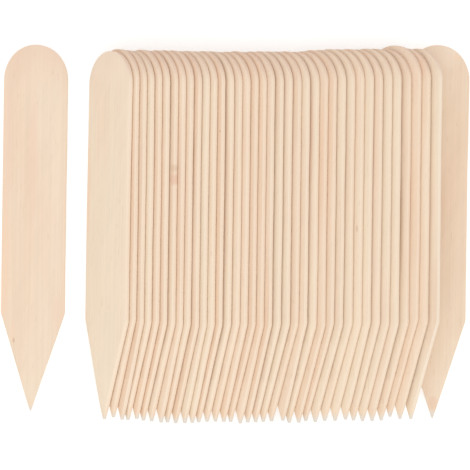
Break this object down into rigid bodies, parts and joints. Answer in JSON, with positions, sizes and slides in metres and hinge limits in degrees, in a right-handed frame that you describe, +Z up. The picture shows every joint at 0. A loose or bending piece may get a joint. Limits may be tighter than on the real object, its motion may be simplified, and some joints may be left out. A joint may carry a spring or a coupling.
{
  "type": "plant label stake set",
  "caption": "Flat wooden plant label stakes with a rounded head and a tapered point: one lying apart and a row leaning on each other, each its own loose piece.",
  "frame": {"origin": "on the surface that the stakes lie on, under the middle of the whole set", "axes": "+X along the row from the lone stake to the flat stake at its end, +Y from the points to the rounded heads, +Z up"},
  "size_m": [0.1464, 0.1196, 0.0163],
  "materials": {
    "birch": "bare sanded veneer"
  },
  "bodies": {
    "lone_stake": {"lone_stake": "birch"},
    "row_stake_01": {"row_stake_01": "birch"},
    "row_stake_02": {"row_stake_02": "birch"},
    "row_stake_03": {"row_stake_03": "birch"},
    "row_stake_04": {"row_stake_04": "birch"},
    "row_stake_05": {"row_stake_05": "birch"},
    "row_stake_06": {"row_stake_06": "birch"},
    "row_stake_07": {"row_stake_07": "birch"},
    "row_stake_08": {"row_stake_08": "birch"},
    "row_stake_09": {"row_stake_09": "birch"},
    "row_stake_10": {"row_stake_10": "birch"},
    "row_stake_11": {"row_stake_11": "birch"},
    "row_stake_12": {"row_stake_12": "birch"},
    "row_stake_13": {"row_stake_13": "birch"},
    "row_stake_14": {"row_stake_14": "birch"},
    "row_stake_15": {"row_stake_15": "birch"},
    "row_stake_16": {"row_stake_16": "birch"},
    "row_stake_17": {"row_stake_17": "birch"},
    "row_stake_18": {"row_stake_18": "birch"},
    "row_stake_19": {"row_stake_19": "birch"},
    "row_stake_20": {"row_stake_20": "birch"},
    "row_stake_21": {"row_stake_21": "birch"},
    "row_stake_22": {"row_stake_22": "birch"},
    "row_stake_23": {"row_stake_23": "birch"},
    "row_stake_24": {"row_stake_24": "birch"},
    "row_stake_25": {"row_stake_25": "birch"},
    "row_stake_26": {"row_stake_26": "birch"},
    "row_stake_27": {"row_stake_27": "birch"},
    "row_stake_28": {"row_stake_28": "birch"},
    "row_stake_29": {"row_stake_29": "birch"},
    "row_stake_30": {"row_stake_30": "birch"},
    "row_stake_31": {"row_stake_31": "birch"},
    "row_stake_32": {"row_stake_32": "birch"},
    "row_stake_33": {"row_stake_33": "birch"},
    "row_stake_34": {"row_stake_34": "birch"},
    "row_stake_35": {"row_stake_35": "birch"},
    "row_stake_36": {"row_stake_36": "birch"},
    "row_stake_37": {"row_stake_37": "birch"},
    "flat_stake": {"flat_stake": "birch"}
  },
  "joints": [
    {"name": "draw_stake_01", "type": "slide", "parent": "flat_stake", "child": "row_stake_01", "axis": [0, 1, 0], "range_m": [0, 0.12]},
    {"name": "draw_stake_02", "type": "slide", "parent": "flat_stake", "child": "row_stake_02", "axis": [0, 1, 0], "range_m": [0, 0.12]},
    {"name": "draw_stake_03", "type": "slide", "parent": "flat_stake", "child": "row_stake_03", "axis": [0, 1, 0], "range_m": [0, 0.12]},
    {"name": "draw_stake_04", "type": "slide", "parent": "flat_stake", "child": "row_stake_04", "axis": [0, 1, 0], "range_m": [0, 0.12]},
    {"name": "draw_stake_05", "type": "slide", "parent": "flat_stake", "child": "row_stake_05", "axis": [0, 1, 0], "range_m": [0, 0.12]},
    {"name": "draw_stake_06", "type": "slide", "parent": "flat_stake", "child": "row_stake_06", "axis": [0, 1, 0], "range_m": [0, 0.12]},
    {"name": "draw_stake_07", "type": "slide", "parent": "flat_stake", "child": "row_stake_07", "axis": [0, 1, 0], "range_m": [0, 0.12]},
    {"name": "draw_stake_08", "type": "slide", "parent": "flat_stake", "child": "row_stake_08", "axis": [0, 1, 0], "range_m": [0, 0.12]},
    {"name": "draw_stake_09", "type": "slide", "parent": "flat_stake", "child": "row_stake_09", "axis": [0, 1, 0], "range_m": [0, 0.12]},
    {"name": "draw_stake_10", "type": "slide", "parent": "flat_stake", "child": "row_stake_10", "axis": [0, 1, 0], "range_m": [0, 0.12]},
    {"name": "draw_stake_11", "type": "slide", "parent": "flat_stake", "child": "row_stake_11", "axis": [0, 1, 0], "range_m": [0, 0.12]},
    {"name": "draw_stake_12", "type": "slide", "parent": "flat_stake", "child": "row_stake_12", "axis": [0, 1, 0], "range_m": [0, 0.12]},
    {"name": "draw_stake_13", "type": "slide", "parent": "flat_stake", "child": "row_stake_13", "axis": [0, 1, 0], "range_m": [0, 0.12]},
    {"name": "draw_stake_14", "type": "slide", "parent": "flat_stake", "child": "row_stake_14", "axis": [0, 1, 0], "range_m": [0, 0.12]},
    {"name": "draw_stake_15", "type": "slide", "parent": "flat_stake", "child": "row_stake_15", "axis": [0, 1, 0], "range_m": [0, 0.12]},
    {"name": "draw_stake_16", "type": "slide", "parent": "flat_stake", "child": "row_stake_16", "axis": [0, 1, 0], "range_m": [0, 0.12]},
    {"name": "draw_stake_17", "type": "slide", "parent": "flat_stake", "child": "row_stake_17", "axis": [0, 1, 0], "range_m": [0, 0.12]},
    {"name": "draw_stake_18", "type": "slide", "parent": "flat_stake", "child": "row_stake_18", "axis": [0, 1, 0], "range_m": [0, 0.12]},
    {"name": "draw_stake_19", "type": "slide", "parent": "flat_stake", "child": "row_stake_19", "axis": [0, 1, 0], "range_m": [0, 0.12]},
    {"name": "draw_stake_20", "type": "slide", "parent": "flat_stake", "child": "row_stake_20", "axis": [0, 1, 0], "range_m": [0, 0.12]},
    {"name": "draw_stake_21", "type": "slide", "parent": "flat_stake", "child": "row_stake_21", "axis": [0, 1, 0], "range_m": [0, 0.12]},
    {"name": "draw_stake_22", "type": "slide", "parent": "flat_stake", "child": "row_stake_22", "axis": [0, 1, 0], "range_m": [0, 0.12]},
    {"name": "draw_stake_23", "type": "slide", "parent": "flat_stake", "child": "row_stake_23", "axis": [0, 1, 0], "range_m": [0, 0.12]},
    {"name": "draw_stake_24", "type": "slide", "parent": "flat_stake", "child": "row_stake_24", "axis": [0, 1, 0], "range_m": [0, 0.12]},
    {"name": "draw_stake_25", "type": "slide", "parent": "flat_stake", "child": "row_stake_25", "axis": [0, 1, 0], "range_m": [0, 0.12]},
    {"name": "draw_stake_26", "type": "slide", "parent": "flat_stake", "child": "row_stake_26", "axis": [0, 1, 0], "range_m": [0, 0.12]},
    {"name": "draw_stake_27", "type": "slide", "parent": "flat_stake", "child": "row_stake_27", "axis": [0, 1, 0], "range_m": [0, 0.12]},
    {"name": "draw_stake_28", "type": "slide", "parent": "flat_stake", "child": "row_stake_28", "axis": [0, 1, 0], "range_m": [0, 0.12]},
    {"name": "draw_stake_29", "type": "slide", "parent": "flat_stake", "child": "row_stake_29", "axis": [0, 1, 0], "range_m": [0, 0.12]},
    {"name": "draw_stake_30", "type": "slide", "parent": "flat_stake", "child": "row_stake_30", "axis": [0, 1, 0], "range_m": [0, 0.12]},
    {"name": "draw_stake_31", "type": "slide", "parent": "flat_stake", "child": "row_stake_31", "axis": [0, 1, 0], "range_m": [0, 0.12]},
    {"name": "draw_stake_32", "type": "slide", "parent": "flat_stake", "child": "row_stake_32", "axis": [0, 1, 0], "range_m": [0, 0.12]},
    {"name": "draw_stake_33", "type": "slide", "parent": "flat_stake", "child": "row_stake_33", "axis": [0, 1, 0], "range_m": [0, 0.12]},
    {"name": "draw_stake_34", "type": "slide", "parent": "flat_stake", "child": "row_stake_34", "axis": [0, 1, 0], "range_m": [0, 0.12]},
    {"name": "draw_stake_35", "type": "slide", "parent": "flat_stake", "child": "row_stake_35", "axis": [0, 1, 0], "range_m": [0, 0.12]},
    {"name": "draw_stake_36", "type": "slide", "parent": "flat_stake", "child": "row_stake_36", "axis": [0, 1, 0], "range_m": [0, 0.12]},
    {"name": "draw_stake_37", "type": "slide", "parent": "flat_stake", "child": "row_stake_37", "axis": [0, 1, 0], "range_m": [0, 0.12]},
    {"name": "lift_lone_stake", "type": "slide", "parent": "flat_stake", "child": "lone_stake", "axis": [0, 0, 1], "range_m": [0, 0.1]}
  ]
}
